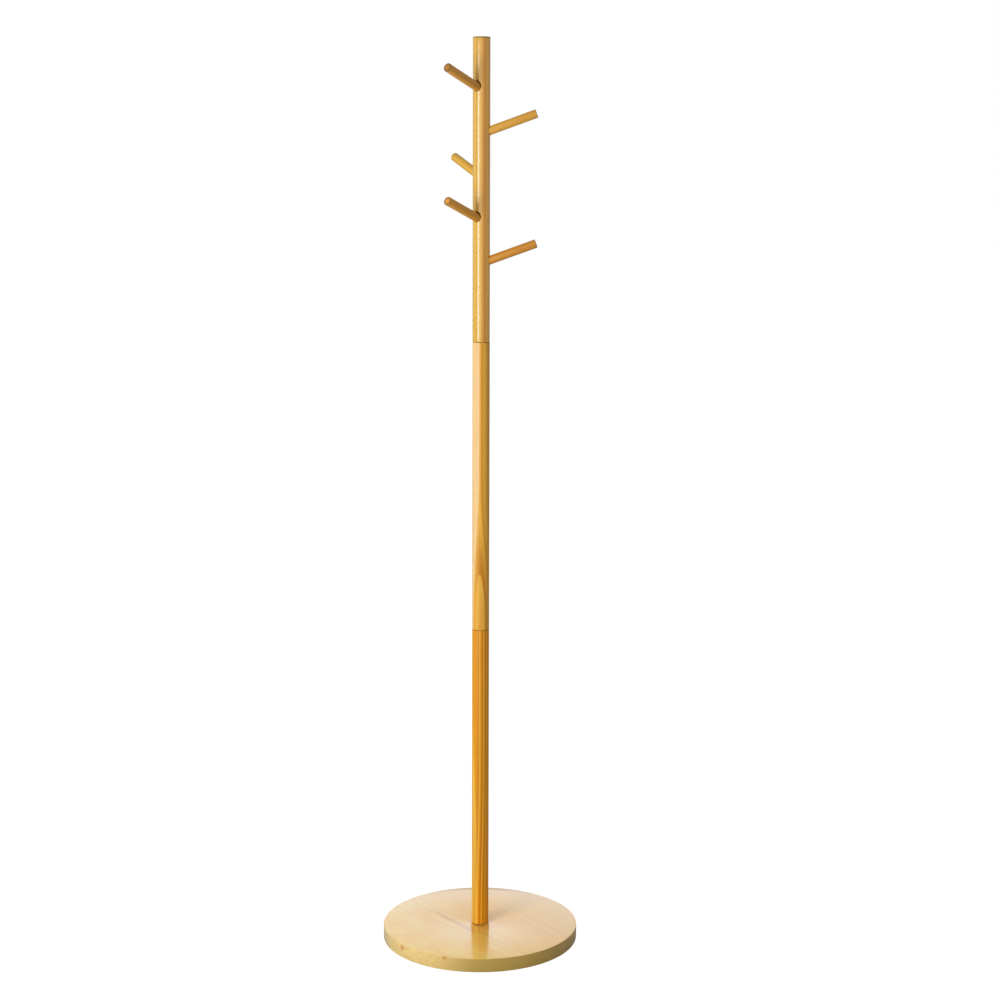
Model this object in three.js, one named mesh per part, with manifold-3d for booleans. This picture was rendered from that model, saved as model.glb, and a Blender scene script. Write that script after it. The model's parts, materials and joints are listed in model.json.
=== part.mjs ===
// Standing coat rack: a round wooden foot, a pole of three screwed lengths and five plugged pegs.
// Millimetres, +Z up. The origin is on the pole's axis, on the floor under the foot.
import * as THREE from 'three';
import { mergeVertices } from 'three/addons/utils/BufferGeometryUtils.js';
import Module from 'manifold-3d';

// ---- driving dimensions ----------------------------------------------------------------
const HEIGHT = 1700;              // floor to the flat top of the pole

const PAD_RADIUS = 10;
const PAD_THICKNESS = 2;
const PAD_COUNT = 6;
const PAD_CIRCLE = 164;           // radius of the circle that the pads lie on

const BASE_RADIUS = 186;
const BASE_THICKNESS = 26;
const BASE_CHAMFER = 1.2;

const POLE_RADIUS = 16;
const POLE_CHAMFER = 0.6;         // at the joint lines
const TOP_CHAMFER = 1.2;          // at the pole's free end
const LOWER_LENGTH = 581;
const MIDDLE_LENGTH = 542;

const PEG_RADIUS = 8;
const PEG_TILT = 20;              // degrees above horizontal
const PEG_REACH = 106.5;          // pole axis to the peg's end, along the peg
const PEG_PAST_AXIS = 5;          // how far the plugged end goes beyond the pole's axis
const PEG_CHAMFER = 1.0;
const SOCKET_CLEARANCE = 0.5;     // drilled socket over peg, on the radius
const FIRST_PEG_DROP = 94;        // pole top to where the highest peg's axis meets the pole's
const PEG_STEP = 77.7;            // drop from one peg to the next
const PEG_DIRECTIONS = [-123.5, 0, 123.5, -123.5, 0];   // degrees from +X, highest peg first

const GAP = 0.3;                  // clearance between neighbouring pieces

const THREAD_RADIUS = 3.85;       // plain stand-in for an M8 thread
const STUD_REACH = 21;            // how far each stud stands out of the face below it
const SCREW_DEPTH = 30;           // wood-threaded end of a hanger bolt
const SCREW_TIP = 6;
const INSERT_RADIUS = 6;
const INSERT_LENGTH = 15;
const INSERT_INSET = 0.8;         // the insert sits a little inside its length's end face

const HEAD_ACROSS_FLATS = 13;
const HEAD_HEIGHT = 5.3;
const WASHER_RADIUS = 12;
const WASHER_THICKNESS = 1.6;
const COUNTERBORE_RADIUS = 14;
const COUNTERBORE_DEPTH = 9;

const BASE_SIDES = 96;
const POLE_SIDES = 40;
const PEG_SIDES = 28;
const SMALL_SIDES = 24;

// ---- heights that follow from them -----------------------------------------------------
const baseBottom = PAD_THICKNESS;
const baseTop = baseBottom + BASE_THICKNESS;
const lowerTop = baseTop + LOWER_LENGTH;
const middleTop = lowerTop + MIDDLE_LENGTH;
const boreRadius = THREAD_RADIUS + GAP;
const radians = THREE.MathUtils.degToRad;

// ---- materials -------------------------------------------------------------------------
function material(color, roughness, metalness) {
  return new THREE.MeshStandardMaterial({ color, roughness, metalness });
}
const baseWood = () => material(0xe9cda5, 0.25, 0);
const poleWood = () => material(0xdda84e, 0.35, 0);
const pegWood = () => material(0xd0943c, 0.4, 0);
const zincSteel = () => material(0xb9bcc0, 0.35, 1);
const brass = () => material(0xc9a24a, 0.35, 1);
const felt = () => material(0x6b5a48, 0.95, 0);

// ---- manifold helpers ------------------------------------------------------------------
const wasm = await Module();
wasm.setup();

function toSolid(geometry) {
  const bare = geometry.clone();
  bare.deleteAttribute('normal');
  bare.deleteAttribute('uv');
  const merged = mergeVertices(bare, 1e-4);
  const vertProperties = new Float32Array(merged.attributes.position.array);
  const triVerts = new Uint32Array(merged.index.array);
  return new wasm.Manifold(new wasm.Mesh({ numProp: 3, vertProperties, triVerts }));
}

function toGeometry(solid) {
  const cut = solid.getMesh();
  const geometry = new THREE.BufferGeometry();
  geometry.setAttribute('position', new THREE.BufferAttribute(cut.vertProperties, 3));
  geometry.setIndex(new THREE.BufferAttribute(cut.triVerts, 1));
  return geometry;
}

// ---- shape helpers ---------------------------------------------------------------------
// A turned piece about +Z from [radius, height] corners that run up the outside.
function turned(corners, sides) {
  const profile = corners.map(([radius, height]) => new THREE.Vector2(radius, height));
  const geometry = new THREE.LatheGeometry(profile, sides);
  geometry.rotateX(Math.PI / 2);
  return geometry;
}

function named(name, geometry, finish) {
  const mesh = new THREE.Mesh(geometry, finish);
  mesh.name = name;
  return mesh;
}

// The corners of a blind socket in a length's bottom end: the insert's seat, then the stud's room.
function insertSocket(end) {
  const seat = end + INSERT_INSET + INSERT_LENGTH + GAP;
  const room = end + STUD_REACH + 2 * GAP;
  return [
    [0, room],
    [THREAD_RADIUS + 2 * GAP, room],
    [THREAD_RADIUS + 2 * GAP, seat],
    [INSERT_RADIUS + GAP, seat],
    [INSERT_RADIUS + GAP, end],
  ];
}

// The corners of the blind pilot hole in a length's top end, which holds a hanger bolt.
function pilotHole(end) {
  return [
    [boreRadius, end],
    [boreRadius, end - SCREW_DEPTH - GAP],
    [0, end - SCREW_DEPTH - GAP],
  ];
}

// One length of the pole, with a socket below and either a pilot hole or a plain top.
function poleLength(bottom, top, topChamfer, topHole) {
  const outside = [
    [POLE_RADIUS - POLE_CHAMFER, bottom],
    [POLE_RADIUS, bottom + POLE_CHAMFER],
    [POLE_RADIUS, top - topChamfer],
    [POLE_RADIUS - topChamfer, top],
  ];
  const end = topHole ? pilotHole(top) : [[0, top]];
  return turned([...insertSocket(bottom), ...outside, ...end], POLE_SIDES);
}

// A threaded insert: a plain sleeve whose bore clears the stud.
function insert(bottom) {
  const low = bottom + INSERT_INSET;
  const high = low + INSERT_LENGTH;
  const wall = [
    [boreRadius, low],
    [INSERT_RADIUS, low],
    [INSERT_RADIUS, high],
    [boreRadius, high],
    [boreRadius, low],
  ];
  return turned(wall, SMALL_SIDES);
}

// A hanger bolt: a pointed wood screw below the face, a machine-threaded stud above it.
function hangerBolt(face) {
  const bolt = [
    [0, face - SCREW_DEPTH],
    [THREAD_RADIUS, face - SCREW_DEPTH + SCREW_TIP],
    [THREAD_RADIUS, face + STUD_REACH - POLE_CHAMFER],
    [THREAD_RADIUS - POLE_CHAMFER, face + STUD_REACH],
    [0, face + STUD_REACH],
  ];
  return turned(bolt, SMALL_SIDES);
}

// ---- foot ------------------------------------------------------------------------------
function baseDisc() {
  const ceiling = baseBottom + COUNTERBORE_DEPTH;
  const disc = [
    [COUNTERBORE_RADIUS, baseBottom],
    [BASE_RADIUS - BASE_CHAMFER, baseBottom],
    [BASE_RADIUS, baseBottom + BASE_CHAMFER],
    [BASE_RADIUS, baseTop - BASE_CHAMFER],
    [BASE_RADIUS - BASE_CHAMFER, baseTop],
    [boreRadius, baseTop],
    [boreRadius, ceiling],
    [COUNTERBORE_RADIUS, ceiling],
    [COUNTERBORE_RADIUS, baseBottom],
  ];
  return turned(disc, BASE_SIDES);
}

const washerTop = baseBottom + COUNTERBORE_DEPTH - GAP;
const headTop = washerTop - WASHER_THICKNESS - GAP;

function baseWasher() {
  const ring = [
    [boreRadius, washerTop - WASHER_THICKNESS],
    [WASHER_RADIUS, washerTop - WASHER_THICKNESS],
    [WASHER_RADIUS, washerTop],
    [boreRadius, washerTop],
    [boreRadius, washerTop - WASHER_THICKNESS],
  ];
  return turned(ring, SMALL_SIDES);
}

function baseBolt() {
  const headRadius = HEAD_ACROSS_FLATS / 2 / Math.cos(Math.PI / 6);
  const head = new THREE.CylinderGeometry(headRadius, headRadius, HEAD_HEIGHT, 6);
  head.rotateX(Math.PI / 2);
  head.translate(0, 0, headTop - HEAD_HEIGHT / 2);
  const shankBottom = headTop - HEAD_HEIGHT / 2;
  const shankTop = baseTop + STUD_REACH;
  const shank = turned([
    [0, shankBottom],
    [THREAD_RADIUS, shankBottom],
    [THREAD_RADIUS, shankTop - POLE_CHAMFER],
    [THREAD_RADIUS - POLE_CHAMFER, shankTop],
    [0, shankTop],
  ], SMALL_SIDES);
  return toGeometry(toSolid(head).add(toSolid(shank)));
}

function footPad(index) {
  const pad = new THREE.CylinderGeometry(PAD_RADIUS, PAD_RADIUS, PAD_THICKNESS, SMALL_SIDES);
  pad.rotateX(Math.PI / 2);
  const mesh = named(`foot_pad_${index + 1}`, pad, felt());
  const turn = (index + 0.5) * 2 * Math.PI / PAD_COUNT;
  mesh.position.set(PAD_CIRCLE * Math.cos(turn), PAD_CIRCLE * Math.sin(turn), PAD_THICKNESS / 2);
  return mesh;
}

// ---- pegs ------------------------------------------------------------------------------
// A peg or its socket lies along its own +Z, then is tipped over and turned to its direction.
function slanted(geometry, index) {
  geometry.rotateY(radians(90 - PEG_TILT));
  geometry.rotateZ(radians(PEG_DIRECTIONS[index]));
  geometry.translate(0, 0, HEIGHT - FIRST_PEG_DROP - index * PEG_STEP);
  return geometry;
}

function peg(index) {
  const dowel = turned([
    [0, -PEG_PAST_AXIS],
    [PEG_RADIUS - PEG_CHAMFER, -PEG_PAST_AXIS],
    [PEG_RADIUS, PEG_CHAMFER - PEG_PAST_AXIS],
    [PEG_RADIUS, PEG_REACH - PEG_CHAMFER],
    [PEG_RADIUS - PEG_CHAMFER, PEG_REACH],
    [0, PEG_REACH],
  ], PEG_SIDES);
  return named(`peg_${index + 1}`, slanted(dowel, index), pegWood());
}

function pegSocket(index) {
  const depth = PEG_PAST_AXIS + GAP;
  const hole = turned([
    [0, -depth],
    [PEG_RADIUS + SOCKET_CLEARANCE, -depth],
    [PEG_RADIUS + SOCKET_CLEARANCE, 2 * POLE_RADIUS],
    [0, 2 * POLE_RADIUS],
  ], PEG_SIDES);
  return toSolid(slanted(hole, index));
}

function upperPole() {
  let wood = toSolid(poleLength(middleTop + GAP, HEIGHT, TOP_CHAMFER, false));
  PEG_DIRECTIONS.forEach((direction, index) => {
    wood = wood.subtract(pegSocket(index));
  });
  return toGeometry(wood);
}

// ---- the coat rack ---------------------------------------------------------------------
const foot = new THREE.Group();
foot.add(named('base_disc', baseDisc(), baseWood()));
foot.add(named('base_washer', baseWasher(), zincSteel()));
foot.add(named('base_bolt', baseBolt(), zincSteel()));
for (let index = 0; index < PAD_COUNT; index += 1) {
  foot.add(footPad(index));
}

const lower = new THREE.Group();
lower.add(named('lower_pole', poleLength(baseTop + GAP, lowerTop, POLE_CHAMFER, true), poleWood()));
lower.add(named('foot_insert', insert(baseTop + GAP), brass()));
lower.add(named('lower_hanger_bolt', hangerBolt(lowerTop), zincSteel()));

const middle = new THREE.Group();
middle.add(named('middle_pole', poleLength(lowerTop + GAP, middleTop, POLE_CHAMFER, true), poleWood()));
middle.add(named('middle_insert', insert(lowerTop + GAP), brass()));
middle.add(named('middle_hanger_bolt', hangerBolt(middleTop), zincSteel()));

const upper = new THREE.Group();
upper.add(named('upper_pole', upperPole(), poleWood()));
upper.add(named('upper_insert', insert(middleTop + GAP), brass()));
PEG_DIRECTIONS.forEach((direction, index) => {
  upper.add(peg(index));
});

const group = new THREE.Group();
group.add(foot, lower, middle, upper);

export default group;
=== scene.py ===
# %% [markdown]
# A standing coat rack in lacquered wood. The real one is turned on a lathe: a round foot, a pole of
# three dowel lengths that screw together, and five short dowels plugged into slanting sockets.
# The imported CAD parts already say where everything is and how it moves. Here every part is made
# again with the fine edges, threads and wood that the eye looks for, and rides on the same bodies.

import json
import math

import bmesh
import bpy
from mathutils import Matrix, Vector


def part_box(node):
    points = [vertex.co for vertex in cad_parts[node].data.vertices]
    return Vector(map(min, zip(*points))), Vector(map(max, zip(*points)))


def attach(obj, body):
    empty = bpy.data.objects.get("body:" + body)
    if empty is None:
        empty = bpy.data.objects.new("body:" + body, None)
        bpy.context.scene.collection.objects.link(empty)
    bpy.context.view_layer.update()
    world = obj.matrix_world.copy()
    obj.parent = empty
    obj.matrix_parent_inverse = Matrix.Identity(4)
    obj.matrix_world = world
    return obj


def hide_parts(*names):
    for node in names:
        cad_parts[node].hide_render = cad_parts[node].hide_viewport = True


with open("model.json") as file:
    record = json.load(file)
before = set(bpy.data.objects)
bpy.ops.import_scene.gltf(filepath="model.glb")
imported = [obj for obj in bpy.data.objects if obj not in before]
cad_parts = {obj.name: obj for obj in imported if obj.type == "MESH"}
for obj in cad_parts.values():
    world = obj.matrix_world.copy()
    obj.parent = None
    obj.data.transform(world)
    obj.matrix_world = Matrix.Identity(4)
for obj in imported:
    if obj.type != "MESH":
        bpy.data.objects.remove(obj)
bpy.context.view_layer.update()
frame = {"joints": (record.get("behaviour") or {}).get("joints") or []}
MM = 0.001
UP = Vector((0, 0, 1))

# %% [markdown]
# Nearly every part is turned, so the main tool is a lathe: a few corners of the outline, spun once
# round the axis. Spin is used and not a stack of cylinders, because one outline keeps the walls,
# the faces and the bores in a single closed skin. The last ring is welded to the first.

# %% A lathe for outlines
WELD = 1e-6                # corners nearer than this, in metres, are one corner


def spun(corners, steps, pitch=0.0):
    """A new bmesh of an outline, (radius, height) corners in metres, spun round the Z axis."""
    bm = bmesh.new()
    verts = [bm.verts.new((radius, 0, height)) for radius, height in corners]
    edges = [bm.edges.new(pair) for pair in zip(verts, verts[1:])]
    bmesh.ops.spin(
        bm, geom=verts + edges, cent=(0, 0, 0), axis=UP, angle=math.tau, steps=steps,
        dvec=(0, 0, pitch / steps), use_merge=pitch == 0,
    )
    bmesh.ops.remove_doubles(bm, verts=bm.verts, dist=WELD)
    bmesh.ops.recalc_face_normals(bm, faces=bm.faces)
    return bm


def closed(corners):
    """The same outline, led back to its first corner, for a part with a hole right through."""
    return corners + corners[:1]


# %% [markdown]
# No real edge is a knife edge: sandpaper takes it off. A ring of edges is found by its radius and
# height and given a small round. Three segments with an even profile are enough for the lacquer to
# catch a thin line of light there.

# %% Ease a turned edge
ON_RING = 1e-5             # metres


def ease(bm, radius, height, width, segments=3):
    def on_ring(vert):
        return abs(vert.co.xy.length - radius) < ON_RING and abs(vert.co.z - height) < ON_RING

    ring = [edge for edge in bm.edges if all(on_ring(vert) for vert in edge.verts)]
    bmesh.ops.bevel(
        bm, geom=ring, offset=width, offset_type="OFFSET", affect="EDGES",
        segments=segments, profile=0.5, material=-1,
    )


# %% [markdown]
# A finished bmesh becomes a piece of the object: it gets its material, smooth walls with crisp
# creases and the body it moves with, and the CAD parts it stands for are hidden. A sound piece has
# no open edges, and its volume is above zero only if its faces point outwards, so both are measured
# and printed.

# %% Turn a bmesh into a piece
CREASE = math.radians(28)


def piece(name, bm, material, body, stands_for):
    open_edges = sum(not edge.is_manifold for edge in bm.edges)
    volume = bm.calc_volume(signed=True) / MM ** 3
    mesh = bpy.data.meshes.new(name)
    bm.to_mesh(mesh)
    bm.free()
    mesh.polygons.foreach_set("use_smooth", [True] * len(mesh.polygons))
    mesh.set_sharp_from_angle(angle=CREASE)
    mesh.materials.append(material)
    made = bpy.data.objects.new(name, mesh)
    bpy.context.scene.collection.objects.link(made)
    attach(made, body)
    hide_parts(*stands_for)
    size = [round(side / MM, 1) for side in made.dimensions]
    print(f"{name}: {len(mesh.polygons)} faces, {open_edges} open edges, {volume:.0f} mm3, {size} mm")


# %% [markdown]
# Materials are written as sums. A Wire holds one output of a shader node, and adding or multiplying
# two wires lays a Math node between them, so a growth ring reads like the formula it is. Every
# other node comes from one method, which sets the node's own settings before its sockets.

# %% Shader maths as Python expressions
class Wire:
    def __init__(self, socket):
        self.socket = socket

    def node(self, kind, settings=(), inputs=(), output=0):
        tree = self.socket.id_data
        made = tree.nodes.new(kind)
        for key, value in dict(settings).items():
            setattr(made, key, value)
        for key, value in dict(inputs).items():
            if isinstance(value, Wire):
                tree.links.new(value.socket, made.inputs[key])
            else:
                made.inputs[key].default_value = value
        return Wire(made.outputs[output]) if made.outputs else None

    def maths(self, operation, *values):
        return self.node("ShaderNodeMath", {"operation": operation}, enumerate(values))

    def __add__(self, other):
        return self.maths("ADD", self, other)

    def __sub__(self, other):
        return self.maths("SUBTRACT", self, other)

    def __rsub__(self, other):
        return self.maths("SUBTRACT", other, self)

    def __mul__(self, other):
        return self.maths("MULTIPLY", self, other)

    __radd__ = __add__
    __rmul__ = __mul__


def band(value, start, end):
    """0 below start, 1 above end, with a soft step between."""
    sockets = {"Value": value, "From Min": start, "From Max": end}
    return value.node("ShaderNodeMapRange", {"interpolation_type": "SMOOTHSTEP"}, sockets)


def blend_colours(factor, first, second):
    sockets = {"Factor": factor, 6: first, 7: second}
    return factor.node("ShaderNodeMix", {"data_type": "RGBA"}, sockets, output=2)


def noise(place, detail=3.0, roughness=0.5, output="Fac"):
    sockets = {"Vector": place, "Scale": 1.0, "Detail": detail, "Roughness": roughness}
    return place.node("ShaderNodeTexNoise", {}, sockets, output=output)


def stretched(place, x, y, z):
    """The same place with its axes scaled, so that a round blot becomes a long fibre."""
    return place.node("ShaderNodeVectorMath", {"operation": "MULTIPLY"}, {0: place, 1: (x, y, z)})


# %% [markdown]
# Every finish starts and ends in the same way: object coordinates come in, measured in millimetres
# along the part's own grain, and a glossy shader goes out. The Mapping node does the turning, so a
# slanting peg keeps its grain along the peg.

# %% Start and close a material
def start(name, origin=(0, 0, 0), turn=(0, 0, 0)):
    """A new material, and the place on the piece in millimetres with the grain along Z."""
    material = bpy.data.materials.new(name)
    material.use_nodes = True
    material.node_tree.nodes.clear()
    coordinates = material.node_tree.nodes.new("ShaderNodeTexCoord")
    place = Wire(coordinates.outputs["Object"]).node(
        "ShaderNodeMapping", {"vector_type": "TEXTURE"},
        {"Vector": Wire(coordinates.outputs["Object"]), "Location": origin, "Rotation": turn,
         "Scale": (MM, MM, MM)},
    )
    return material, place


def close(material, shader_inputs):
    """The Principled shader with these inputs, joined to the output."""
    first = next(value for value in shader_inputs.values() if isinstance(value, Wire))
    shader = first.node("ShaderNodeBsdfPrincipled", {}, shader_inputs)
    shader.node("ShaderNodeOutputMaterial", {}, {"Surface": shader})
    return material


def linear(red, green, blue):
    """A colour given as it looks on screen, 0 to 255, in the linear values that shaders use."""
    def one(value):
        share = value / 255
        return share / 12.92 if share <= 0.04045 else ((share + 0.055) / 1.055) ** 2.4

    return (one(red), one(green), one(blue), 1.0)


# %% [markdown]
# Wood is a stack of cones round the tree's pith, so it is drawn that way. The distance from a
# slightly wandering pith is cut into growth rings: pale early wood that darkens slowly, then a
# narrow dark line of late wood that stops short. Where a dowel's wall runs along the rings they
# come out wide and pale, where it cuts across them as straight stripes, and an end shows arcs. The
# pith may shift between two heights, and there a stripe leans or a tall arch opens. A flat image
# of grain could never agree with itself on all those sides.

# %% Growth rings
WANDERING = (0.012, 0.012, 0.0035)     # noise cells per mm across, through and along the grain


def axes(place):
    """The place across the grain, through the board and along the grain."""
    return [place.node("ShaderNodeSeparateXYZ", {}, {"Vector": place}, output=axis) for axis in "XYZ"]


def length_of(across, through):
    """The length of a flat arrow given by its two sides."""
    flat = across.node("ShaderNodeCombineXYZ", {}, {"X": across, "Y": through})
    return flat.node("ShaderNodeVectorMath", {"operation": "LENGTH"}, {0: flat}, output="Value")


def growth_rings(place, pith, shift, over, ring, wander):
    """The ring's phase, from 0 at its early wood to 1, and its number."""
    drift = noise(stretched(place, *WANDERING), detail=2.0, output="Color")
    drift = drift.node(
        "ShaderNodeVectorMath", {"operation": "MULTIPLY_ADD"},
        {0: drift, 1: (wander, wander, 0), 2: (-wander / 2, -wander / 2, 0)},
    )
    moved = place.node("ShaderNodeVectorMath", {"operation": "ADD"}, {0: place, 1: drift})
    along_x, along_y, height = axes(moved)
    part_way = band(height, over[0], over[1])
    across = along_x - part_way * shift[0] - pith[0]
    through = along_y - part_way * shift[1] - pith[1]
    count = length_of(across, through) * (1 / ring)
    return count.maths("FRACT", count), count.maths("FLOOR", count)


# %% [markdown]
# The rings alone look printed. Real wood has pale sapwood and golden heartwood, so a border between
# the two runs along each piece and may drift from one height to another. It has short fibres that
# run with the grain, a slow change of tint, rings that differ in strength and may fade towards one
# side, and fine pores. On an end face the cut fibres drink the lacquer and turn darker, so the
# object-space normal is compared with the direction of the grain. The lacquer is a clear coat over
# all of it. Marks that only one piece has, such as knots, come in as a function of their own.

# %% Lacquered wood
FIBRES = (0.9, 0.9, 0.018)       # noise cells per mm across, through and along the grain
HAIRS = (3.2, 3.2, 0.05)
CLOUDS = (0.05, 0.05, 0.009)
EARLY_WOOD = (0.05, 0.35)        # phases over which the pale early wood ends
LATE_PEAK = 0.94                 # phase at which the late wood is darkest
LATE_STOP = (0.96, 1.0)          # phases over which it stops
WEAKEST_RING = 0.25
FAINTEST_SIDE = 0.3
BORDER_WOBBLE = 2.0              # mm by which the fibres fray the border of the sapwood
PORES = 0.25
END_GRAIN = (0.15, 0.8)          # how squarely a face cuts the fibres, from not at all to fully


def lacquered_wood(
        name, sap, heart, dark, pith, shift=(0, 0), over=(0, 1), border=(0, 0, 0, 1),
        border_width=8.0, ring=5.0, seed=0, late=0.8, late_start=0.3, faint=(-100, -99), early=0.0,
        fibre=0.35, tint=0.3, wander=4.0, clouds=CLOUDS, end=None, end_depth=0.5,
        origin=(0, 0, 0), turn=(0, 0, 0), grain=(0, 0, 1), gloss=0.3, mirror=0.5, coat=0.6,
        end_coat=0.6, coat_roughness=0.12, relief_depth=0.12, marks=None):
    """A clear-coated wood. Lengths are in mm from the origin, with the grain along Z.

    pith, shift, over: the pith's place, its shift and the two heights between which it shifts.
    border: where the sapwood ends across the grain, its drift and the heights between which it
    drifts. ring: the width of a growth ring. seed: which rings are strong. late, early, fibre and
    tint: how much the late wood, early wood, fibres and clouds show. faint: where across the grain
    the late wood is faint and from where it is full. end, end_depth, end_coat: the colour of the
    end grain, how much it shows and the share of the coat that it keeps.
    """
    material, place = start(name, origin, turn)
    phase, number = growth_rings(place, pith, shift, over, ring, wander)
    own = number.node("ShaderNodeTexWhiteNoise", {"noise_dimensions": "1D"}, {"W": number + seed})
    across, _, height = axes(place)
    line = band(phase, late_start, LATE_PEAK) * (1 - band(phase, *LATE_STOP))
    line = line * (own * (1 - WEAKEST_RING) + WEAKEST_RING)
    line = line * (band(across, *faint) * (1 - FAINTEST_SIDE) + FAINTEST_SIDE)
    fibres = noise(stretched(place, *FIBRES), detail=5.0, roughness=0.62)
    hairs = noise(stretched(place, *HAIRS), detail=2.0)
    patches = noise(stretched(place, *clouds), detail=3.0)

    edge, drift, low, high = border
    frayed = fibres * BORDER_WOBBLE - BORDER_WOBBLE / 2
    inside = across - band(height, low, high) * drift + frayed - edge
    colour = blend_colours(band(inside, -border_width / 2, border_width / 2), sap, heart)
    colour = blend_colours((1 - band(phase, *EARLY_WOOD)) * early, colour, sap)
    colour = blend_colours(line * late, colour, dark)
    colour = blend_colours(band(fibres, 0.45, 0.75) * fibre, colour, dark)
    colour = blend_colours(band(patches, 0.4, 0.65) * tint, colour, heart)
    colour = blend_colours(band(hairs, 0.66, 0.8) * PORES, colour, dark)

    normal = Wire(material.node_tree.nodes["Texture Coordinate"].outputs["Normal"])
    along = normal.node(
        "ShaderNodeVectorMath", {"operation": "DOT_PRODUCT"}, {0: normal, 1: grain}, output="Value"
    )
    end_grain = band(along.maths("ABSOLUTE", along), *END_GRAIN)
    colour = blend_colours(end_grain * end_depth, colour, end or dark)
    if marks:
        colour = marks(place, normal, colour)

    relief = line * 0.5 + fibres * 0.35 + hairs * 0.3
    bump = relief.node(
        "ShaderNodeBump", {}, {"Strength": 0.25, "Distance": relief_depth * MM, "Height": relief}
    )
    return close(material, {
        "Base Color": colour,
        "Roughness": gloss + fibres * 0.12 + end_grain * 0.15,
        "Specular IOR Level": mirror,
        "Coat Weight": coat - end_grain * (coat * (1 - end_coat)),
        "Coat Roughness": coat_roughness,
        "Normal": bump,
    })


# %% [markdown]
# The three lengths come from different trees. The upper one is yellow on its left and more orange on
# its right, with broad rings. The middle one has pale sapwood on its left and golden heartwood on
# its right. Its pith shifts over its lower part, so a tall arch opens there, and its late wood
# darkens slowly and fades to the left. The lower one is the most orange, with straight lines that
# lean a little near the foot. Inside the sockets of the upper length the wood is bare and browner,
# and that brown is darkened further as painted shade in the sockets. The rounding at its very top
# is darkened by a painted shade.

# %% Wood of the pole
POLE_END = linear(128, 80, 26)
# Bare wood in the sockets, made darker as painted shade in these recesses.
BARE_AND_SHADED_BROWN = linear(146, 90, 22)
# Painted shade on the rounding at the top of the pole.
TOP_RIM_SHADE_BROWN = linear(140, 108, 48)
LACQUERED_SKIN = (15.3, 15.9)    # distance from the pole's axis in mm over which bare wood ends
TOP_RIM_SHADE_DEPTH = (3.4, 2.0)        # depth below the top in mm over which the painted shade on the top rim begins
UPPER_ENDS = [corner.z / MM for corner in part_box("upper_pole")]


def shaded_sockets_and_rim(place, normal, colour):
    """Bare wood inside the sockets, away from both ends, darkened further as painted shade, and a
    painted shade on the rim at the top.
    """
    across, through, height = axes(place)
    depth = length_of(across, through)
    low, high = UPPER_ENDS
    between = band(height, low + 1, low + 3) * (1 - band(height, high - 3, high - 1))
    # Painted shade: the sockets' bare wood, and so the crescents past the pegs, get a darker brown.
    colour = blend_colours((1 - band(depth, *LACQUERED_SKIN)) * between * 0.95, colour, BARE_AND_SHADED_BROWN)
    rim = band(height, *[high - depth_below for depth_below in TOP_RIM_SHADE_DEPTH])
    # Painted shade on the rounding at the very top.
    return blend_colours(rim * 0.7, colour, TOP_RIM_SHADE_BROWN)


pole_wood = {
    "upper": lacquered_wood(
        "upper_length_wood", linear(226, 178, 48), linear(242, 182, 82), linear(192, 112, 8),
        pith=(-68.5, 0), ring=13.2, border=(-1.5, 0, 0, 1), border_width=9.0, late=1.0,
        fibre=0.3, tint=0.15, wander=1.2, end=POLE_END, end_depth=0.85, end_coat=0.0, coat=0.7,
        relief_depth=0.04, marks=shaded_sockets_and_rim,
    ),
    "middle": lacquered_wood(
        "middle_length_wood", linear(247, 210, 148), linear(240, 181, 66), linear(198, 120, 0),
        pith=(-1.5, 62.2), shift=(30.5, -13.2), over=(20, 340), border=(-12.6, 10.4, 30, 300),
        border_width=3.0, ring=5.07, seed=-8, late=0.95, late_start=0.05, faint=(-13, 3),
        fibre=0.25, tint=0.1, wander=0.8, end=POLE_END, end_depth=0.85,
        origin=(0, 0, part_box("middle_pole")[0].z), gloss=0.42, mirror=0.35, coat=0.12,
        coat_roughness=0.3,
    ),
    "lower": lacquered_wood(
        "lower_length_wood", linear(250, 196, 74), linear(230, 152, 12), linear(186, 106, 0),
        pith=(-44.7, -48.0), shift=(4.5, 0), over=(40, 340), border=(-6, -8, 150, 480),
        border_width=4.0, ring=6.3, seed=-6, late=1.0, early=0.8, fibre=0.3, tint=0.1, wander=1.0,
        end=POLE_END, end_depth=0.85, gloss=0.45, mirror=0.25, coat=0.08, coat_roughness=0.3,
    ),
}
print("pole woods:", ", ".join(sorted(pole_wood)))

# %% [markdown]
# The foot is one wide flat-sawn board. Its grain runs across it at a slant and its rings lie almost
# flat, so the top shows long, faint streaks and the rim shows side grain on two sides and end grain
# on the other two. Two pin knots sit on the front rim, and one mineral streak lies on the top. The
# lacquer is thicker and glossier here, so its coat is full and smooth.

# %% Wood of the foot
base_low, base_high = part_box("base_disc")
FOOT_RADIUS = base_high.x
FOOT_TOP = base_high.z
GRAIN_AZIMUTH = math.radians(-51)
foot_grain = Vector((math.cos(GRAIN_AZIMUTH), math.sin(GRAIN_AZIMUTH), 0))
foot_turn = foot_grain.to_track_quat("Z", "Y").to_euler()
PIN_KNOTS = ((-138, 6.0, 5.4), (-107, 2.5, 4.6))   # azimuth in degrees, depth and size in mm
KNOT_BROWN = linear(204, 142, 52)
STREAK_ACROSS = -40              # mm across the grain
STREAK_WIDTH = (0.5, 9.0)        # mm from its middle over which it fades
STREAK_START = (-132, -62)       # mm along the grain over which it begins
STREAK_STOP = (26, 46)           # and over which it ends
STREAK_BROWN = linear(212, 146, 50)
RIM_PALE = linear(240, 214, 146)
RIM_STROKE = linear(214, 172, 92)
RIM_STROKES = (0.3, 0.3, 0.03)   # noise cells per mm


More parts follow.
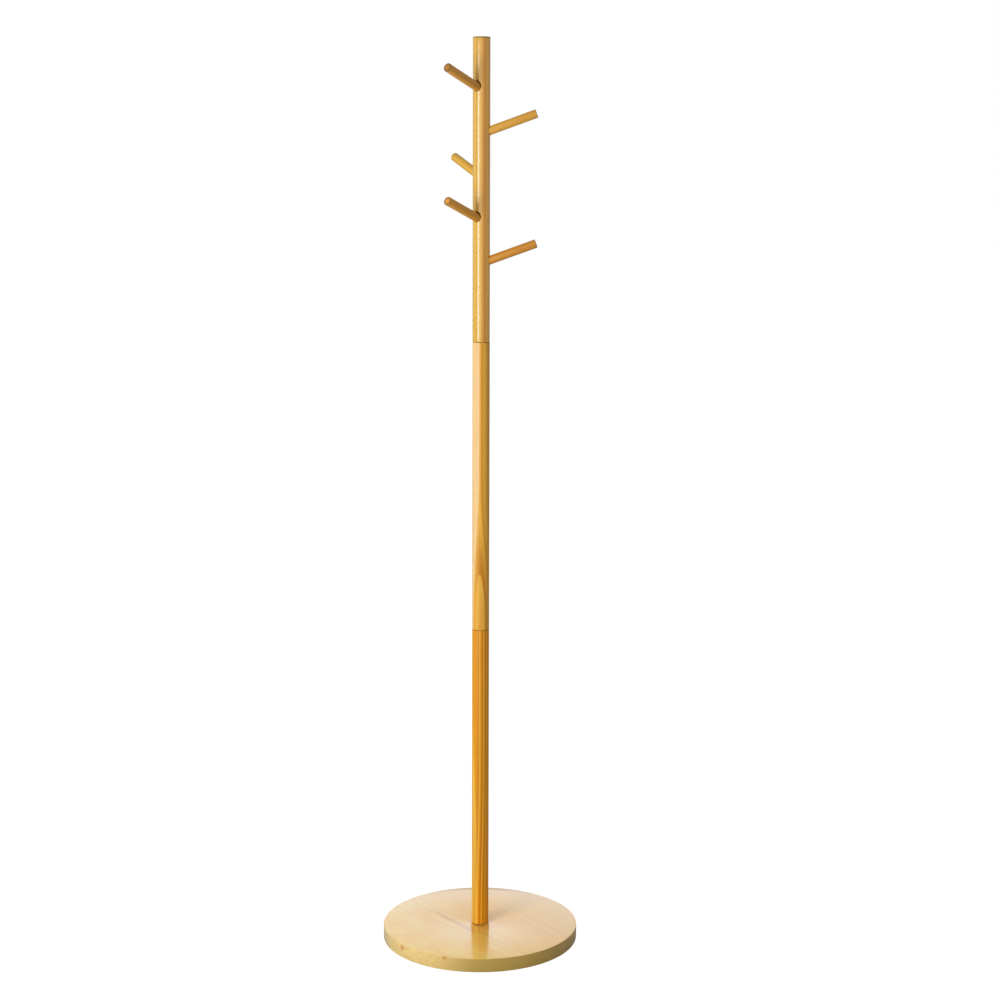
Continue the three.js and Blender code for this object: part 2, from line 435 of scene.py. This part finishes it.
def foot_marks(place, normal, colour):
    """The paler turned rim, the pin knots on it and one long mineral streak on the top."""
    up = normal.node("ShaderNodeSeparateXYZ", {}, {"Vector": normal}, output="Z")
    along = normal.node(
        "ShaderNodeVectorMath", {"operation": "DOT_PRODUCT"}, {0: normal, 1: foot_grain}, output="Value"
    )
    side_grain = (1 - band(up, 0.3, 0.9)) * (1 - band(along.maths("ABSOLUTE", along), 0.35, 0.85))
    colour = blend_colours(side_grain * 0.7, colour, RIM_PALE)
    strokes = noise(stretched(place, *RIM_STROKES), detail=2.0)
    colour = blend_colours(side_grain * band(strokes, 0.45, 0.65) * 0.5, colour, RIM_STROKE)
    to_grain = foot_turn.to_matrix().inverted()
    for azimuth, depth, size in PIN_KNOTS:
        rim = Matrix.Rotation(math.radians(azimuth), 3, "Z") @ Vector((FOOT_RADIUS, 0, 0))
        centre = to_grain @ (rim + UP * (FOOT_TOP - depth * MM)) / MM
        away = place.node(
            "ShaderNodeVectorMath", {"operation": "DISTANCE"}, {0: place, 1: centre}, output="Value"
        )
        colour = blend_colours((1 - band(away, size * 0.3, size * 1.6)) * 0.8, colour, KNOT_BROWN)
    across, _, lengthwise = axes(place)
    aside = across - STREAK_ACROSS
    beside = band(aside.maths("ABSOLUTE", aside), *STREAK_WIDTH)
    within = band(lengthwise, *STREAK_START) * (1 - band(lengthwise, *STREAK_STOP))
    return blend_colours((1 - beside) * within * 0.55, colour, STREAK_BROWN)


foot_wood = lacquered_wood(
    "foot_wood", linear(252, 212, 104), linear(248, 192, 80), linear(214, 150, 56),
    pith=(20, 95), shift=(12, 8), over=(-190, 190), border=(0, 0, 0, 1), border_width=120, ring=14.0,
    late=0.34, fibre=0.2, tint=0.9, wander=26.0, clouds=(0.032, 0.032, 0.015),
    end=linear(184, 152, 70), end_depth=0.9, turn=foot_turn, grain=foot_grain, gloss=0.24, coat=1.0,
    coat_roughness=0.1, marks=foot_marks,
)
print("foot grain runs towards", [round(value, 2) for value in foot_grain])

# %% [markdown]
# The foot itself: a disc with a counterbore below for the bolt's head and a clearance hole above
# it. Its outline is closed on itself because the hole goes right through. The outer edges get a
# 1.2 mm round and the bores a smaller one.

# %% Turn the foot
FOOT_STEPS = 224
BOLT_HOLE = 4.15 * MM
COUNTERBORE = 14 * MM
COUNTERBORE_CEILING = base_low.z + 9 * MM
RIM_EASE = 1.2 * MM
COUNTERBORE_EASE = 0.5 * MM
HOLE_EASE = 0.4 * MM
foot = spun(closed([
    (COUNTERBORE, base_low.z),
    (FOOT_RADIUS, base_low.z),
    (FOOT_RADIUS, FOOT_TOP),
    (BOLT_HOLE, FOOT_TOP),
    (BOLT_HOLE, COUNTERBORE_CEILING),
    (COUNTERBORE, COUNTERBORE_CEILING),
]), FOOT_STEPS)
for height in (base_low.z, FOOT_TOP):
    ease(foot, FOOT_RADIUS, height, RIM_EASE)
ease(foot, COUNTERBORE, base_low.z, COUNTERBORE_EASE, segments=2)
ease(foot, BOLT_HOLE, FOOT_TOP, HOLE_EASE, segments=2)
piece("foot", foot, foot_wood, "base", ["base_disc"])

# %% [markdown]
# Each length of the pole is a dowel with a socket for a threaded insert in its lower end and, on
# the first two, a pilot hole for a hanger bolt in its upper end. Both ends are eased, and the pair
# of rounds at each joint makes the fine dark line with a bright lip under it. The upper length is
# solid at its top and eased more there.

# %% Turn the lengths of the pole
POLE_STEPS = 144
JOINT_EASE = 0.7 * MM
TOP_EASE = 1.5 * MM
INSERT_SEAT = 6.3 * MM
SEAT_DEPTH = 16.1 * MM
STUD_ROOM = 4.45 * MM
ROOM_DEPTH = 21.6 * MM
PILOT_DEPTH = 30.3 * MM
UPPER_BANDS = 60           # short bands keep the shading true round the drilled sockets


def length_of_pole(node, pilot_hole):
    low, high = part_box(node)
    radius = high.x
    bands = 1 if pilot_hole else UPPER_BANDS
    corners = [
        (0, low.z + ROOM_DEPTH),
        (STUD_ROOM, low.z + ROOM_DEPTH),
        (STUD_ROOM, low.z + SEAT_DEPTH),
        (INSERT_SEAT, low.z + SEAT_DEPTH),
        (INSERT_SEAT, low.z),
    ]
    corners += [(radius, low.z + (high.z - low.z) * share / bands) for share in range(bands + 1)]
    if pilot_hole:
        floor_of_hole = high.z - PILOT_DEPTH
        corners += [(BOLT_HOLE, high.z), (BOLT_HOLE, floor_of_hole), (0, floor_of_hole)]
    else:
        corners += [(0, high.z)]
    bm = spun(corners, POLE_STEPS)
    ease(bm, radius, low.z, JOINT_EASE)
    ease(bm, radius, high.z, JOINT_EASE if pilot_hole else TOP_EASE)
    return bm


piece("lower_length", length_of_pole("lower_pole", True), pole_wood["lower"],
      "lower_length", ["lower_pole"])
piece("middle_length", length_of_pole("middle_pole", True), pole_wood["middle"],
      "middle_length", ["middle_pole"])

# %% [markdown]
# The pegs lie on slanting axes. Their directions and their travel are the joints of the frame, so
# the directions are read from there and not typed again. Each peg's axis meets the pole's axis at a
# height that follows from its CAD box.

# %% Read the pegs' axes
PEG_RADIUS = 8 * MM
PEG_REACH = 106.5 * MM
PEG_PAST_AXIS = 5 * MM
joint_axes = {joint["child"]: Vector(joint["axis"]) for joint in frame["joints"]}
pegs = {}
for number in range(1, 6):
    node = f"peg_{number}"
    axis = joint_axes[node]
    low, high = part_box(node)
    rise = (PEG_REACH - PEG_PAST_AXIS) / 2 * axis.z
    pegs[node] = (axis, Vector((0, 0, (low.z + high.z) / 2 - rise)))
    print(node, "meets the pole's axis at", round(pegs[node][1].z / MM, 1), "mm")


def onto_axis(axis, centre):
    """The matrix that lays a part made along Z onto a peg's axis."""
    return Matrix.Translation(centre) @ axis.to_track_quat("Z", "Y").to_matrix().to_4x4()


# %% [markdown]
# Drilling five slanting sockets into a dowel is a true cut: the mouth is a saddle curve that no
# spin can draw. So the upper length is turned first and the Boolean modifier drills it with spun
# cutters. A drill that starts on a round, slanting wall wanders a little before it bites, so each
# mouth is cut twice, the second time shallow and aside. That leaves the thin dark crescent that
# shows past a peg. The result is kept as a plain mesh and the cutters go.

# %% Drill the upper length
SOCKET_RADIUS = PEG_RADIUS + 0.5 * MM
SOCKET_FLOOR = -PEG_PAST_AXIS - 0.3 * MM
WANDER_FLOOR = 10 * MM
WANDER = Matrix.Translation((0.8 * MM, 1.7 * MM, 0))     # aside and up, across the peg's axis
PAST_WALL = 40 * MM
CUTTER_STEPS = 72


def loose_object(name, bm):
    mesh = bpy.data.meshes.new(name)
    bm.to_mesh(mesh)
    bm.free()
    made = bpy.data.objects.new(name, mesh)
    bpy.context.scene.collection.objects.link(made)
    return made


def cutter(axis, centre, floor, aside):
    wall = [(SOCKET_RADIUS, floor), (SOCKET_RADIUS, PAST_WALL)]
    bm = spun([(0, floor)] + wall + [(0, PAST_WALL)], CUTTER_STEPS)
    bmesh.ops.transform(bm, matrix=onto_axis(axis, centre) @ aside, verts=bm.verts)
    return loose_object("cutter", bm)


def drilled(bm, peg_axes):
    blank = loose_object("blank", bm)
    cutters = []
    for axis, centre in peg_axes:
        cutters.append(cutter(axis, centre, SOCKET_FLOOR, Matrix()))
        cutters.append(cutter(axis, centre, WANDER_FLOOR, WANDER))
    for drill in cutters:
        cut = blank.modifiers.new("socket", "BOOLEAN")
        cut.operation = "DIFFERENCE"
        cut.solver = "EXACT"
        cut.object = drill
    shaped = bmesh.new()
    shaped.from_object(blank, bpy.context.evaluated_depsgraph_get())
    for spare in [blank] + cutters:
        mesh = spare.data
        bpy.data.objects.remove(spare)
        bpy.data.meshes.remove(mesh)
    return shaped


upper = drilled(length_of_pole("upper_pole", False), pegs.values())
print("open edges after drilling:", sum(not edge.is_manifold for edge in upper.edges))
piece("upper_length", upper, pole_wood["upper"], "upper_length", ["upper_pole"])

# %% [markdown]
# A peg is a plain dowel with both ends eased. It is turned upright and then laid on its axis, with
# its place in its mesh. Each one is cut from another stick, so each gets its own pith and tints.
# The rounding of its outer end is darkened with a painted shade, and the middle of that face stays
# bright.

# %% Turn the pegs
PEG_DARK = linear(172, 104, 24)
# Painted shade for the rounding at a peg's outer end.
PEG_RIM_SHADE = linear(126, 92, 38)
PEG_WOODS = {
    "peg_1": ((-30, 12), linear(236, 172, 72), linear(226, 160, 60), linear(174, 110, 14)),
    "peg_2": ((8, 26), linear(240, 180, 66), linear(228, 160, 52), linear(192, 126, 18)),
    "peg_3": ((22, -20), linear(248, 202, 52), linear(240, 186, 44), linear(216, 150, 26)),
    "peg_4": ((-16, -28), linear(246, 182, 68), linear(232, 162, 54), linear(236, 152, 36)),
    "peg_5": ((34, 4), linear(220, 150, 40), linear(220, 146, 38), linear(200, 136, 24)),
}
PEG_STEPS = 80
PEG_EASE = 1.0 * MM
PEG_RING = (5.5, 8.3)            # mm from the peg's axis, fraying included, over which the rim starts
PEG_FRAY = 5.0                   # mm
FRAYING = (0.5, 0.5, 0.05)       # noise cells per mm


def shaded_peg_rim(place, normal, colour):
    """A painted shade: a dark, frayed ring round the outer end of a peg."""
    across, through, height = axes(place)
    last = PEG_REACH / MM
    at_end = band(height, last - 1.4, last - 0.5)
    frayed = noise(stretched(place, *FRAYING)) * PEG_FRAY
    ring = band(length_of(across, through) + frayed, *PEG_RING)
    # Painted shade on the rounded rim of the peg's end.
    return blend_colours(ring * at_end * 0.8, colour, PEG_RIM_SHADE)


def peg_piece(node, pith, sap, heart, end):
    axis, centre = pegs[node]
    bm = spun([
        (0, -PEG_PAST_AXIS),
        (PEG_RADIUS, -PEG_PAST_AXIS),
        (PEG_RADIUS, PEG_REACH),
        (0, PEG_REACH),
    ], PEG_STEPS)
    ease(bm, PEG_RADIUS, -PEG_PAST_AXIS, PEG_EASE)
    ease(bm, PEG_RADIUS, PEG_REACH, PEG_EASE)
    bmesh.ops.transform(bm, matrix=onto_axis(axis, centre), verts=bm.verts)
    wood = lacquered_wood(
        f"{node}_wood", sap, heart, PEG_DARK, pith=pith, ring=3.4, late=0.5, wander=1.5,
        fibre=0.4, end=end, end_depth=0.7, origin=centre, grain=axis, gloss=0.36, coat=0.3,
        end_coat=0.2, turn=axis.to_track_quat("Z", "Y").to_euler(), marks=shaded_peg_rim,
    )
    piece(f"{node}_dowel", bm, wood, node, [node])


for node, (pith, sap, heart, end) in PEG_WOODS.items():
    peg_piece(node, pith, sap, heart, end)

# %% [markdown]
# Threads are made as a real helix. One long toothed outline is spun while it climbs by exactly one
# pitch, so the last column lands on the first one a tooth higher and the two weld. The ragged ends
# are then cut flat by a plane. All this happens near height zero, because a mesh stores its heights
# in single precision, and a metre up they are too coarse to weld a seam. The thread is lifted last.

# %% Cut a thread
FLANK_START = 0.12               # shares of the pitch at which a tooth rises,
CREST_START = 0.46               # reaches its crest
CREST_END = 0.62                 # and leaves it


def thread(low, high, crest, root, pitch, steps=28):
    """An open threaded tube round Z between two heights, cut flat at both ends."""
    length = high - low
    corners = []
    for tooth in range(-1, math.ceil(length / pitch) + 2):
        corners += [
            (root, tooth * pitch),
            (root, (tooth + FLANK_START) * pitch),
            (crest, (tooth + CREST_START) * pitch),
            (crest, (tooth + CREST_END) * pitch),
        ]
    bm = spun(corners, steps, pitch)
    for height, side in ((0, -UP), (length, UP)):
        bmesh.ops.bisect_plane(
            bm, geom=bm.verts[:] + bm.edges[:] + bm.faces[:], dist=WELD / 10,
            plane_co=(0, 0, height), plane_no=side, clear_outer=True,
        )
    bmesh.ops.translate(bm, vec=(0, 0, low), verts=bm.verts)
    return bm


def capped(bm):
    """The same thread with its open ends filled."""
    rims = [edge for edge in bm.edges if edge.is_boundary]
    bmesh.ops.holes_fill(bm, edges=rims, sides=0)
    bmesh.ops.recalc_face_normals(bm, faces=bm.faces)
    return bm


def tapered(bm, tip, length, narrow):
    """Draws the last stretch before the tip in towards the axis."""
    for vert in bm.verts:
        near = 1 - min(abs(vert.co.z - tip) / length, 1)
        vert.co.xy *= 1 - near * (1 - narrow)


# %% [markdown]
# The hardware is bright zinc on steel and plain brass. Zinc plate is pale and slightly blue, with
# soft blotches and a roughness that changes from place to place. Both get fine turning marks in
# their bump. Nobody sees them until a length is unscrewed.

# %% Metal finishes
BLOTCHES = (0.35, 0.35, 0.35)    # noise cells per mm
TURNING_MARKS = (0.6, 0.6, 9.0)


def metal(name, tone, second_tone, roughness):
    material, place = start(name)
    blotch = noise(stretched(place, *BLOTCHES), detail=4.0)
    lines = noise(stretched(place, *TURNING_MARKS), detail=2.0)
    colour = blend_colours(band(blotch, 0.35, 0.7), tone, second_tone)
    bump = lines.node(
        "ShaderNodeBump", {}, {"Strength": 0.2, "Distance": 0.02 * MM, "Height": lines + blotch * 0.5}
    )
    return close(material, {
        "Base Color": colour,
        "Metallic": 1.0,
        "Roughness": roughness + blotch * 0.2 + lines * 0.08,
        "Normal": bump,
    })


zinc = metal("bright_zinc", linear(205, 208, 212), linear(176, 182, 190), 0.2)
brass = metal("turned_brass", linear(214, 178, 98), linear(186, 146, 70), 0.18)
print("metals:", zinc.name, "and", brass.name)

# %% [markdown]
# A hanger bolt is two screws in one: a coarse, pointed wood thread that stays in the wood and a
# machine thread that stands out of it. They are cut as two closed threads that meet in the face.

# %% Hanger bolts
STUD_CREST = 3.95 * MM
STUD_ROOT = 3.3 * MM
STUD_PITCH = 1.25 * MM
STUD_TIP = 1.2 * MM
STUD_TIP_SHARE = 0.8             # how much of its thickness the stud keeps at its tip
WOOD_ROOT = 2.7 * MM
WOOD_PITCH = 3.0 * MM
WOOD_POINT = 8 * MM
WOOD_POINT_SHARE = 0.12


def joined(first, second):
    """Adds the second bmesh to the first one as another closed shell."""
    spare = bpy.data.meshes.new("spare")
    second.to_mesh(spare)
    second.free()
    first.from_mesh(spare)
    bpy.data.meshes.remove(spare)
    return first


def hanger_bolt(node, face, body):
    low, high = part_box(node)
    stud = capped(thread(face, high.z, STUD_CREST, STUD_ROOT, STUD_PITCH))
    tapered(stud, high.z, STUD_TIP, STUD_TIP_SHARE)
    screw = capped(thread(low.z, face, STUD_CREST, WOOD_ROOT, WOOD_PITCH))
    tapered(screw, low.z, WOOD_POINT, WOOD_POINT_SHARE)
    piece(f"{node}_threaded", joined(stud, screw), zinc, body, [node])


lower_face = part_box("lower_pole")[1].z
middle_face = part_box("middle_pole")[1].z
hanger_bolt("lower_hanger_bolt", lower_face, "lower_length")
hanger_bolt("middle_hanger_bolt", middle_face, "middle_length")

# %% [markdown]
# A threaded insert is a brass sleeve. Outside it has a coarse thread that bites the wood, inside a
# machine thread for the stud. The two helices are cut apart, and each flat end is filled as a ring
# between the two rims. Filling by triangles is used, because a bridge between rims with different
# numbers of corners can cut straight across the bore.

# %% Threaded inserts
INSERT_CREST = 6.0 * MM
INSERT_ROOT = 5.3 * MM
INSERT_WALL_PITCH = 2.0 * MM
BORE_CREST = 4.5 * MM
BORE_ROOT = 4.15 * MM


def insert(node, body):
    low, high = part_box(node)
    sleeve = thread(low.z, high.z, INSERT_CREST, INSERT_ROOT, INSERT_WALL_PITCH)
    bore = thread(low.z, high.z, BORE_CREST, BORE_ROOT, STUD_PITCH)
    joined(sleeve, bore)
    for height in (low.z, high.z):
        rims = [
            edge for edge in sleeve.edges
            if edge.is_boundary and abs(edge.verts[0].co.z - height) < WELD
        ]
        bmesh.ops.triangle_fill(sleeve, edges=rims, use_beauty=True, use_dissolve=False, normal=UP)
    bmesh.ops.recalc_face_normals(sleeve, faces=sleeve.faces)
    piece(f"{node}_threaded", sleeve, brass, body, [node])


insert("foot_insert", "lower_nut")
insert("middle_insert", "middle_nut")
insert("upper_insert", "upper_nut")

# %% [markdown]
# From below, a hexagon bolt and a wide washer clamp the foot to the pole. The corners of a real
# head are turned away by a conical cut. Here the rims of a six-sided prism are bevelled, which looks
# the same at this size. The washer is punched, so its outer edges are softly rounded.

# %% Base bolt and washer
HEAD_HEIGHT = 5.3 * MM
HEAD_RADIUS = 7.5 * MM           # to the corners
HEAD_BEVEL = 0.6 * MM
bolt_low, bolt_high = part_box("base_bolt")
middle_of_head = bolt_low.z + HEAD_HEIGHT / 2
head = bmesh.new()
bmesh.ops.create_cone(
    head, cap_ends=True, segments=6, radius1=HEAD_RADIUS, radius2=HEAD_RADIUS, depth=HEAD_HEIGHT,
    matrix=Matrix.Translation((0, 0, middle_of_head)) @ Matrix.Rotation(math.pi / 6, 4, "Z"),
)
crown = [edge for edge in head.edges if abs(edge.verts[0].co.z - edge.verts[1].co.z) < WELD]
bmesh.ops.bevel(
    head, geom=crown, offset=HEAD_BEVEL, offset_type="OFFSET", affect="EDGES", segments=2,
    profile=0.5, material=-1,
)
shank = capped(thread(middle_of_head, bolt_high.z, STUD_CREST, STUD_ROOT, STUD_PITCH))
tapered(shank, bolt_high.z, STUD_TIP, STUD_TIP_SHARE)
piece("base_bolt_threaded", joined(head, shank), zinc, "base", ["base_bolt"])

washer_low, washer_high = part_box("base_washer")
WASHER_RADIUS = washer_high.x
WASHER_STEPS = 64
WASHER_EASE = 0.3 * MM
washer = spun(closed([
    (BOLT_HOLE, washer_low.z),
    (WASHER_RADIUS, washer_low.z),
    (WASHER_RADIUS, washer_high.z),
    (BOLT_HOLE, washer_high.z),
]), WASHER_STEPS)
for height in (washer_low.z, washer_high.z):
    ease(washer, WASHER_RADIUS, height, WASHER_EASE, segments=2)
piece("base_washer_punched", washer, zinc, "base", ["base_washer"])

# %% [markdown]
# Six felt pads keep the foot off the floor. Needle felt has no weave, only tangled hair, so its
# material is two sizes of noise in colour and bump, fully rough, with a little sheen.

# %% Felt pads
TUFTS = (0.7, 0.7, 0.7)          # noise cells per mm
FELT_HAIR = (4.0, 4.0, 2.0)
PAD_STEPS = 48
PAD_EASE_BELOW = 0.5 * MM
PAD_EASE_ABOVE = 0.3 * MM


def felt():
    material, place = start("needle_felt")
    tufts = noise(stretched(place, *TUFTS), detail=5.0, roughness=0.7)
    hair = noise(stretched(place, *FELT_HAIR), detail=3.0, roughness=0.6)
    colour = blend_colours(band(tufts, 0.3, 0.7), linear(120, 100, 80), linear(86, 70, 56))
    colour = blend_colours(band(hair, 0.55, 0.8) * 0.5, colour, linear(156, 138, 116))
    fuzz = tufts * 0.6 + hair
    bump = fuzz.node("ShaderNodeBump", {}, {"Strength": 0.8, "Distance": 0.3 * MM, "Height": fuzz})
    return close(material, {
        "Base Color": colour, "Roughness": 0.85 + hair * 0.15, "Sheen Weight": 0.3, "Normal": bump,
    })


needle_felt = felt()
for number in range(1, 7):
    node = f"foot_pad_{number}"
    low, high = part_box(node)
    centre = (low + high) / 2
    radius = (high.y - low.y) / 2
    pad = spun([(0, low.z), (radius, low.z), (radius, high.z), (0, high.z)], PAD_STEPS)
    ease(pad, radius, low.z, PAD_EASE_BELOW)
    ease(pad, radius, high.z, PAD_EASE_ABOVE, segments=2)
    bmesh.ops.translate(pad, vec=(centre.x, centre.y, 0), verts=pad.verts)
    piece(f"felt_pad_{number}", pad, needle_felt, "base", [node])

# %% [markdown]
# The stage: a wide pale paper floor that runs into the white behind it without a line. For the
# camera it is mostly white in itself, with a little of the real paper and its soft shadow. For the
# light it is plain paper, so that it doesn't glow on the object from below. It isn't part of the
# object.

# %% Floor
FLOOR_SIZE = 30.0                # metres
PAPER_SHOWN = 0.12               # share of the real paper that the camera sees
PAPER_TONES = ((0.5, 0.5, 0.5, 1), (0.56, 0.56, 0.56, 1))
MOTTLE = (0.002, 0.002, 0.002)   # noise cells per mm
GLOW = 1.16                      # a little over white, so the mix with the paper stays white
floor_mesh = bmesh.new()
bmesh.ops.create_grid(floor_mesh, x_segments=1, y_segments=1, size=FLOOR_SIZE / 2)
floor = loose_object("floor", floor_mesh)
floor_paint, floor_place = start("pale_floor")
mottle = noise(stretched(floor_place, *MOTTLE))
paper = mottle.node("ShaderNodeBsdfDiffuse", {}, {
    "Color": blend_colours(mottle, *PAPER_TONES),
})
glow = mottle.node("ShaderNodeEmission", {}, {"Color": (1, 1, 1, 1), "Strength": GLOW})
to_camera = mottle.node("ShaderNodeLightPath", output="Is Camera Ray")
surface = to_camera.node(
    "ShaderNodeMixShader", {}, {0: to_camera * (1 - PAPER_SHOWN), 1: paper, 2: glow}
)
surface.node("ShaderNodeOutputMaterial", {}, {"Surface": surface})
floor.data.materials.append(floor_paint)

# %% [markdown]
# The light is a plain product set: an even white room for the fill, a tall soft box at the front
# left that draws the long highlight down the pole, a large weak card in front, a weak box at the
# left for the far edge, and a panel behind whose reflection turns the glossy top of the foot pale.
# Each one points at the pole's axis, at a height of its own.

# %% Lights
def soft_box(name, place, aim, width, height, brightness):
    light = bpy.data.lights.new(name, "AREA")
    light.shape = "RECTANGLE"
    light.size = width
    light.size_y = height
    light.energy = brightness * math.pi * width * height
    made = bpy.data.objects.new(name, light)
    made.location = place
    made.rotation_euler = (UP * aim - Vector(place)).to_track_quat("-Z", "Y").to_euler()
    made.visible_camera = False
    bpy.context.scene.collection.objects.link(made)


def around(azimuth, distance, height):
    """A place round the pole: azimuth 0 is in front, positive to the right."""
    angle = math.radians(azimuth)
    return (distance * math.sin(angle), -distance * math.cos(angle), height)


soft_box("tall_box", around(-36, 2.9, 1.1), aim=1.1, width=1.05, height=1.4, brightness=10.6)
soft_box("front_card", around(-5, 4.4, 1.5), aim=1.3, width=1.6, height=1.6, brightness=1.4)
soft_box("side_box", around(-95, 2.5, 1.5), aim=0.9, width=1.6, height=2.2, brightness=0.8)
soft_box("back_panel", around(180, 2.9, 1.3), aim=0.1, width=2.2, height=1.9, brightness=0.9)

# %% [markdown]
# The camera sees the room as pure white, but the object gets less than half of it, because an even
# light from all sides would take the shape out of a round pole.

# %% White room
FILL = 0.43
world = bpy.data.worlds.new("white_room")
world.use_nodes = True
world.node_tree.nodes.clear()
seen = Wire(world.node_tree.nodes.new("ShaderNodeLightPath").outputs["Is Camera Ray"])
room = seen.node(
    "ShaderNodeBackground", {}, {"Color": (1, 1, 1, 1), "Strength": seen * (1 - FILL) + FILL}
)
room.node("ShaderNodeOutputWorld", {}, {"Surface": room})
bpy.context.scene.world = world
bpy.context.scene.view_settings.view_transform = "Standard"

# %% [markdown]
# The camera stands almost four metres off at shoulder height with a long lens. It looks a little
# down, so the foot opens into an ellipse while the pegs are seen nearly level.

# %% Camera
CAMERA_AZIMUTH = 3.75            # degrees to the right of the front
CAMERA_DISTANCE = 3.709          # metres
CAMERA_HEIGHT = 1.483
LOOK_DOWN = 9.60                 # degrees
LOOK_ASIDE = 0.5525              # degrees to the right, which puts the pole left of the middle
TILT = 0.2                       # degrees
LENS = 72.53                     # mm
SENSOR_WIDTH = 36                # mm

camera_data = bpy.data.cameras.new("camera")
camera_data.sensor_width = SENSOR_WIDTH
camera_data.lens = LENS
camera_data.clip_end = 100
camera = bpy.data.objects.new("camera", camera_data)
camera.matrix_world = (
    Matrix.Translation(around(CAMERA_AZIMUTH, CAMERA_DISTANCE, CAMERA_HEIGHT))
    @ Matrix.Rotation(math.radians(CAMERA_AZIMUTH - LOOK_ASIDE), 4, "Z")
    @ Matrix.Rotation(math.radians(90 - LOOK_DOWN), 4, "X")
    @ Matrix.Rotation(math.radians(TILT), 4, "Z")
)
bpy.context.scene.collection.objects.link(camera)
bpy.context.scene.camera = camera
print("camera at", [round(value, 2) for value in camera.matrix_world.translation])
